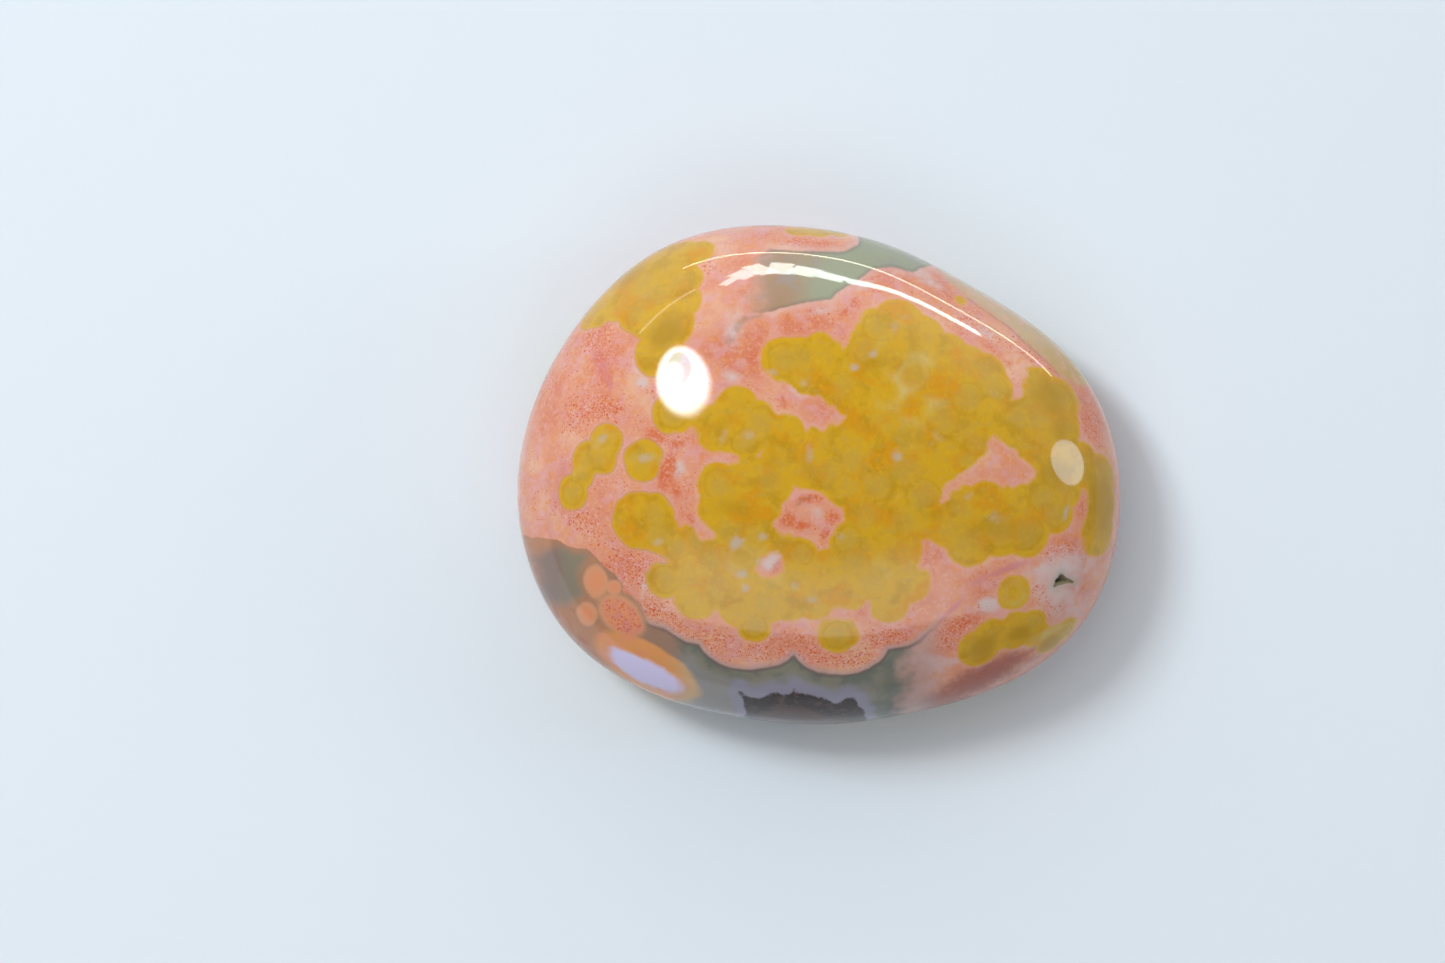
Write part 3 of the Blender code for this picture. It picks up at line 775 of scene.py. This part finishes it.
# The specks crowd in clumps of their own, on top of where the mesh has them.
clumps = calc("MULTIPLY", calc("SUBTRACT", mottle(0.7, shift=4), 0.46), 2.2)
density = calc("ADD", layer_of("speckles"), clumps)
ground = cloud(ground, YELLOW_GRAIN, 4.4, 61, (0.50, 0.64), both(ease(density, 0.5, 1.3), 0.45), detail=3.0)
ground = cloud(ground, PINK_DEEP, 6.5, 83, (0.48, 0.62), both(ease(density, 0.0, 0.9), 0.65), detail=3.0)
ground = cloud(ground, LILAC_FLECK, 5.5, 91, (0.54, 0.66), both(ease(density, 0.0, 0.8), 0.55), detail=3.0)
ground = specks(ground, 8.0, 0.55, calc("MULTIPLY", density, 0.80), 0.55)
ground = specks(ground, 5.0, 0.38, calc("MULTIPLY", density, 0.55), 0.9)

# The agate, from its shore inward, with the quartz in its heart, and brown towards the left.
where_x = node("ShaderNodeSeparateXYZ", {0: in_mm}).outputs["X"]
blurred_x = jitter(jitter(where_x, 0.45, 2.4), 1.8, 0.8, 6)
depth = roughened("agate_depth", (1.4, 0.08))
halo = both(ease(depth, -0.45, -0.06), ease(where_x, -10.4, -9.0), ease(where_x, 7.2, 5.5), 0.65)
ground = paint(ground, AGATE_HALO, halo)
jag = roughened("quartz", (1.3, 0.2, 9), (5.0, 0.22, 19))
agate = cloud(AGATE_GREEN, AGATE_TEAL, 0.8, 47, (0.42, 0.62))
inner = both(ease(jitter(depth, 0.7, 0.5), 0.35, 0.8), ease(where_x, 3.6, 2.0))
agate = paint(agate, AGATE_PALE, both(inner, 0.55))
agate = paint(agate, AGATE_TEAL, both(ease(blurred_x, 3.0, 4.2), 0.7))
agate = paint(agate, AGATE_LAVENDER, both(ease(jag, 0.9, 0.3), ease(depth, 0.3, 0.8)))
agate = paint(agate, AGATE_PALE, both(ease(blurred_x, -4.4, -5.4), ease(depth, 0.8, 1.4), 0.7))
agate = paint(agate, QUARTZ_DARK, both(ease(blurred_x, 2.6, 5.0), ease(depth, 1.6, 3.4), 0.7))
quartz = bands(jag, [(-1.1, QUARTZ_MAUVE), (-0.55, QUARTZ_DARK)])
quartz = cloud(quartz, QUARTZ_MAUVE, 1.7, 53, (0.50, 0.66), 0.6)
agate = paint(agate, quartz, ease(jag, 0.06, -0.10))
agate = paint(agate, AGATE_MAUVE, ease(blurred_x, -7.2, -8.8))
agate = paint(agate, SHORE_BROWN, ease(blurred_x, -9.6, -12.6))
agate = cloud(agate, UMBER_BROWN_AND_SHADE, 0.9, 57, (0.50, 0.70), both(ease(blurred_x, -6.5, -8.5), 0.35))
patch = paint(PATCH_LAVENDER, PATCH_GREEN, ease(blurred_x, -14.9, -13.5))
patch_depth = roughened("patch", (1.2, 0.3), (4.0, 0.15))
agate = paint(agate, patch, both(ease(patch_depth, 0.25, -0.6), ease(blurred_x, -16.6, -15.2)))
ground = paint(ground, agate, both(ease(depth, -0.03, 0.06), ease(blurred_x, 5.2, 3.9)))
shore_line = both(ease(depth, -0.12, 0.02), ease(depth, 0.22, 0.06))
shore_ends = both(ease(where_x, 6.8, 4.6), ease(where_x, -14.0, -6.0))
ground = paint(ground, AGATE_LINE, both(shore_line, shore_ends, 0.7))

# The window at the top, and the painted reflection at the upper right rim.
window = roughened("window", (1.5, 0.16), (4.5, 0.10, 9))
pane = paint(WINDOW_MAUVE, WINDOW_GREEN, ease(blurred_x, -2.4, 0.8))
pane = cloud(pane, AGATE_PALE, 0.9, 71, (0.48, 0.68), 0.45)
pane = paint(pane, AGATE_LINE, both(ease(window, -0.3, -0.02), 0.4))
left_fade = ease(blurred_x, -4.3, -2.4)
ground = paint(ground, LAVENDER_WHITE, both(ease(window, 0.5, 0.05), left_fade, 0.35))
ground = paint(ground, pane, both(ease(window, 0.06, -0.10), left_fade))
# The painted reflection: pale yellowish towards the left, gold towards the right, with pale pink clouds.
strip = roughened("painted_reflection", (0.9, 0.3, 2), (3.0, 0.15, 4))
painted_reflection_colour = paint(REFLECTION_PALE, REFLECTION_GOLD, ease(jitter(where_x, 0.8, 4.0, 6), 10.5, 14.5))
painted_reflection_colour = cloud(painted_reflection_colour, PINK_PALE, 1.3, 63, (0.50, 0.66), 0.5)
ground = paint(ground, painted_reflection_colour, both(ease(strip, 0.12, -0.25), 0.8))

# The peach orbs, the speckled one and the eye in its ring, then the veins.
peachy = roughened("peach", (1.5, 0.12), (5.0, 0.10, 8))
peach_silica = paint(PEACH, PEACH_RIM, ease(jitter(peachy, 2.5, 0.8), 0.3, 0.9))
ground = paint(ground, AGATE_MAUVE, both(ease(peachy, 1.30, 1.05), 0.75))
ground = paint(ground, peach_silica, ease(peachy, 1.22, 0.80))
spotted = cloud(PEACH, PINK_MAUVE, 1.8, 67, (0.42, 0.60), 0.5)
spotted = specks(spotted, 6.0, 0.5, 0.7, 0.6)
spotted = specks(spotted, 3.5, 0.34, 0.5, 0.7)
ground = paint(ground, spotted, ease(roughened("speckled", (1.5, 0.3)), 1.3, 0.95))
ring = roughened("eye_ring", (1.0, 0.1), (3.0, 0.10, 4))
tan = cloud(EYE_TAN, PEACH, 0.9, 73, (0.44, 0.60), detail=3.0)
tan = paint(tan, EYE_CREAM, ease(blurred_x, -8.6, -7.0))
ground = paint(ground, tan, ease(ring, 1.10, 0.88))
ground = paint(ground, PEACH, both(ease(blurred_x, -10.4, -12.0), ease(ring, 1.0, 0.7), 0.8))
ground = paint(ground, EYE_WHITE, ease(roughened("eye", (1.5, 0.3)), 1.2, 0.8))
vein_core = ease(roughened("vein", (2.5, 0.5)), 1.2, 0.1)
ground = cloud(ground, VEIN_BROWN, 1.4, 77, (0.34, 0.54), both(vein_core, 0.5), detail=3.0)

# The gold, with a faint ring round each heart, and a thin dark line round the orbs on the left.
skin = roughened("gold_skin", (2.2, 0.12), (7.0, 0.10, 33))
opening = roughened("gap", (2.2, 0.28, 35), (7.0, 0.22, 36))
rim = calc("MAXIMUM", skin, opening)
outness = roughened("gold_share", (1.2, 0.34, 2), (4.0, 0.14, 12))
heart = layer_of("gold_heart")
gold = cloud(GOLD, GOLD_ORANGE, 0.6, 23, (0.46, 0.62), 0.8, detail=3.0)
gold = cloud(gold, GOLD_DEEP, 0.9, 41, (0.48, 0.66), 0.6)
gold = paint(gold, GOLD_HEART, both(ease(outness, 0.80, 0.15), ease(heart, 0.1, 0.9), 0.65))
heart_ring = both(ease(outness, 0.54, 0.64), ease(outness, 0.78, 0.68), ease(heart, 0.5, 0.9))
gold = paint(gold, GOLD_DEEP, both(heart_ring, 0.35))
gold = paint(gold, GOLD_ORANGE, both(ease(outness, 0.84, 1.0), 0.7))
hazy = both(ease(roughened("haze", (0.9, 1.0, 14)), 0.2, 1.1), ease(outness, 0.25, 0.85))
gold = paint(gold, GOLD_HAZE, both(hazy, 0.9))
gold = cloud(gold, GOLD_HEART, 2.6, 29, (0.48, 0.70), 0.5)
gold = cloud(gold, GOLD_BRIGHT, 4.2, 31, (0.52, 0.72), 0.4, detail=2.0)
gold = paint(gold, GOLD_DEEP, both(ease(roughened("deep", (1.0, 0.8, 15)), 0.2, 1.1), 0.8))
clouded = ease(roughened("clouds", (2.2, 1.0), (6.0, 0.5, 8)), 0.15, 1.3)
gold = paint(gold, CLOUD_GREY, both(clouded, 0.75))
gold = paint(gold, GOLD_BRIGHT, both(ease(rim, -0.26, -0.08), 0.35))
ground = paint(ground, PINK_PALE, both(ease(rim, 0.26, 0.05), 0.25))
ground = paint(ground, GOLD_LINE, both(ease(rim, 0.11, 0.0), ease(where_x, -7.5, -8.5), 0.45))
colour = paint(ground, gold, both(ease(skin, 0.08, -0.13), ease(opening, 0.12, -0.22)))

# The pit, pale round its lip and olive at its edge, with painted shade darkening its hollow.
lip = layer_of("pit_edge")
colour = paint(colour, PIT_HALO, both(ease(lip, 0.55, 0.05), 0.75))
colour = paint(colour, PIT_OLIVE, ease(lip, 0.09, 0.0))
# Painted shade inside the hollow.
colour = paint(colour, PIT_SHADE, ease(jitter(lip, 3.0, 0.10), -0.04, -0.12))

polish = tree.nodes["Principled BSDF"]
tree.links.new(colour, polish.inputs["Base Color"])
polish.inputs["Roughness"].default_value = POLISH_ROUGHNESS
polish.inputs["IOR"].default_value = JASPER_IOR
polish.inputs["Subsurface Weight"].default_value = LIGHT_WITHIN
polish.inputs["Subsurface Radius"].default_value = LIGHT_REACH
polish.inputs["Subsurface Scale"].default_value = LIGHT_DEPTH * MM
stone.data.materials.append(jasper)
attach(stone, "root")
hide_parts("jasper_cabochon")

# The surface that the stone lies on: a flat sheet, far wider than the camera sees, painted a cool white that
# has almost no gloss.
FLOOR_SIZE = 2400.0
FLOOR_WHITE = (0.71, 0.755, 0.785)
FLOOR_ROUGHNESS = 0.8
FLOOR_GLOSS = 0.2

floor_mesh = bpy.data.meshes.new("floor")
edge = FLOOR_SIZE / 2 * MM
floor_corners = [(-edge, -edge, 0), (edge, -edge, 0), (edge, edge, 0), (-edge, edge, 0)]
floor_mesh.from_pydata(floor_corners, [], [(0, 1, 2, 3)])
floor = bpy.data.objects.new("floor", floor_mesh)
bpy.context.scene.collection.objects.link(floor)
floor_paint = bpy.data.materials.new("pale_floor")
floor_paint.use_nodes = True
floor_shader = floor_paint.node_tree.nodes["Principled BSDF"]
floor_shader.inputs["Base Color"].default_value = (*FLOOR_WHITE, 1.0)
floor_shader.inputs["Roughness"].default_value = FLOOR_ROUGHNESS
floor_shader.inputs["Specular IOR Level"].default_value = FLOOR_GLOSS
floor_mesh.materials.append(floor_paint)

# The studio's lamps. Each has its azimuth and height in degrees as seen from the stone, its distance and its
# two sides in millimetres, its turn about its own way, its colour and its brightness. GLINTS only show in
# reflections, and the fill only gives its light.
LAMPS = {
    "upper_left_lamp": (141, 53.6, 420, 98, 172, -14, (0.95, 0.95, 1.0), 37.5),
    "right_lamp": (7.5, 22.5, 420, 86, 170, 0, (0.66, 0.83, 1.0), 4.9),
    "fill": (140, 62, 900, 620, 620, 0, (1.0, 0.99, 0.98), 1.75),
}
GLINTS = {
    "low_strip": (76, 1.5, 600, 1000, 14, 0, (1.0, 0.93, 0.72), 15.0),
    "low_edge": (128, 25, 600, 220, 14, 0, (1.0, 0.95, 0.8), 3.5),
}
ROUND_LAMPS = ("upper_left_lamp", "right_lamp")
# A far window, as panes side by side from left to right: at each azimuth, how low and how high it reaches.
WINDOW_EDGES = [
    (108.5, 27.0, 28.5), (104.0, 21.5, 27.0), (99.0, 15.5, 25.5), (94.0, 12.5, 23.5), (88.0, 14.2, 23.8),
    (82.0, 17.2, 24.3), (77.0, 19.5, 23.8), (73.0, 18.0, 21.8), (68.0, 15.6, 19.0), (62.0, 13.5, 17.0),
    (54.5, 12.3, 15.2),
]
WINDOW_AWAY = 600.0
WINDOW_TINT = (0.86, 1.0, 0.93)
WINDOW_BRIGHTNESS = (9.0, 19.0)  # of its leftmost and its rightmost pane

panes = list(zip(WINDOW_EDGES, WINDOW_EDGES[1:]))
for number, ((left, left_low, left_high), (right, right_low, right_high)) in enumerate(panes):
    height = (left_low + left_high + right_low + right_high) / 4
    run = math.radians(left - right) * math.cos(math.radians(height)) * WINDOW_AWAY
    rise = math.radians(left_low + left_high - right_low - right_high) / 2 * WINDOW_AWAY
    tall = math.radians(left_high - left_low + right_high - right_low) / 2 * WINDOW_AWAY
    turn = math.atan2(rise, run)
    leftmost, rightmost = WINDOW_BRIGHTNESS
    brightness = leftmost + (rightmost - leftmost) * number / (len(panes) - 1)
    GLINTS[f"window_pane_{number + 1}"] = (
        (left + right) / 2, height, WINDOW_AWAY, math.hypot(run, rise), tall * math.cos(turn),
        math.degrees(turn), WINDOW_TINT, brightness,
    )

for name, (azimuth, height, away, wide, tall, turn, tint, brightness) in (LAMPS | GLINTS).items():
    lamp = bpy.data.lights.new(name, "AREA")
    lamp.shape = "ELLIPSE" if name in ROUND_LAMPS else "RECTANGLE"
    lamp.size = wide * MM
    lamp.size_y = tall * MM
    lamp.color = tint
    area = wide * tall * MM * MM * (math.pi / 4 if name in ROUND_LAMPS else 1)
    lamp.energy = brightness * math.pi * area
    holder = bpy.data.objects.new(name, lamp)
    way = direction(math.radians(azimuth), math.radians(height))
    swing = Matrix.Rotation(math.radians(azimuth + 90), 4, "Z")
    tilt = Matrix.Rotation(math.radians(90 - height), 4, "X")
    roll = Matrix.Rotation(math.radians(turn), 4, "Z")
    holder.matrix_world = Matrix.Translation(way * away * MM) @ (swing @ tilt) @ roll
    holder.visible_diffuse = name in LAMPS
    holder.visible_glossy = name != "fill"
    bpy.context.scene.collection.objects.link(holder)

# The upper left lamp is a lantern that fades at its edge, with a smoked, cooler part in the middle and a
# clear spot in that. Distances are in shares of its half-size, and middles in shares of its width and height.
LANTERN_EDGE = (1.0, 0.62)  # where the glow is nothing, and where it is full
LANTERN_SMOKED = (0.56, 0.42)  # where the smoke is nothing, and where it is full
LANTERN_SMOKED_MIDDLE = (0.44, 0.40)
LANTERN_CLEAR = (0.112, 0.392)  # where the clear spot is full, and where it is nothing
LANTERN_CLEAR_MIDDLE = (0.56, 0.42)
LANTERN_DIM = 0.76  # how much of the light the smoke takes
LANTERN_COOL = (0.5, 1.15, 1.4)

lantern = bpy.data.lights["upper_left_lamp"]
lantern.use_nodes = True
tree = lantern.node_tree
across = node("ShaderNodeNewGeometry").outputs["Parametric"]


def lantern_distance(middle):
    """How far a point of the lantern lies from this middle, as a share of the lantern's half-size."""
    away = node("ShaderNodeVectorMath", {0: across, 1: (*middle, 0.0)}, operation="DISTANCE")
    return calc("MULTIPLY", away.outputs["Value"], 2.0)


glow = ease(lantern_distance((0.5, 0.5)), *LANTERN_EDGE)
in_smoked = ease(lantern_distance(LANTERN_SMOKED_MIDDLE), *LANTERN_SMOKED)
smoked = both(in_smoked, ease(lantern_distance(LANTERN_CLEAR_MIDDLE), *LANTERN_CLEAR))
lit = calc("SUBTRACT", 1.0, both(smoked, LANTERN_DIM))
emission = tree.nodes["Emission"]
tree.links.new(both(glow, lit), emission.inputs["Strength"])
tree.links.new(paint((1.0, 1.0, 1.0), LANTERN_COOL, smoked), emission.inputs["Color"])

# The sky: soft, brighter low on the far side than on the near side, and dimmer overhead, to the left and to
# the right. A pale veil stands high on the near side. The pairs are where along an axis each part comes in.
SKY_ZENITH = 0.14
SKY_NEAR = 0.30
SKY_FAR = 1.25
SKY_FAR_SIDE = (-0.5, 0.85)
SKY_LEFT = (-0.1, -0.8)
SKY_RIGHT = (0.35, 0.9)
SKY_SIDE_DIM = 0.4
SKY_OVERHEAD = (0.45, 0.9)
SKY_TINT = (0.97, 1.0, 1.04)
VEIL = 1.35
VEIL_EDGES = [
    ("Z", 0.62, 0.655), ("Z", 0.97, 0.84), ("Y", -0.15, -0.4), ("X", -0.65, -0.35), ("X", 0.55, 0.3),
]

world = bpy.data.worlds.new("studio")
world.use_nodes = True
bpy.context.scene.world = world
tree = world.node_tree
way = node("ShaderNodeTexCoord").outputs["Generated"]
along = node("ShaderNodeSeparateXYZ", {0: way}).outputs
far_side = ease(along["Y"], *SKY_FAR_SIDE)
side_on = calc("ADD", calc("MULTIPLY", far_side, SKY_FAR - SKY_NEAR), SKY_NEAR)
left_dim = calc("SUBTRACT", 1.0, both(ease(along["X"], *SKY_LEFT), SKY_SIDE_DIM))
right_dim = calc("SUBTRACT", 1.0, both(ease(along["X"], *SKY_RIGHT), SKY_SIDE_DIM))
horizon = both(side_on, left_dim, right_dim)
up = ease(along["Z"], *SKY_OVERHEAD)
strength = calc("ADD", both(horizon, calc("SUBTRACT", 1.0, up)), both(up, SKY_ZENITH))
veil = both(*[ease(along[axis], start, full) for axis, start, full in VEIL_EDGES], VEIL)
background = tree.nodes["Background"]
background.inputs["Color"].default_value = (*SKY_TINT, 1.0)
tree.links.new(calc("ADD", strength, veil), background.inputs["Strength"])

# The camera itself, straight above the point that it is aimed at.
CAMERA_CLIP = (0.01, 10.0)  # in metres

camera = bpy.data.cameras.new("camera")
camera.lens = LENS
camera.sensor_width = SENSOR_WIDTH
camera.clip_start, camera.clip_end = CAMERA_CLIP
viewer = bpy.data.objects.new("camera", camera)
viewer.location = (AIM[0] * MM, AIM[1] * MM, (GIRDLE_HEIGHT + VIEW_DISTANCE) * MM)
bpy.context.scene.collection.objects.link(viewer)
bpy.context.scene.camera = viewer
bpy.context.scene.view_settings.view_transform = "Standard"
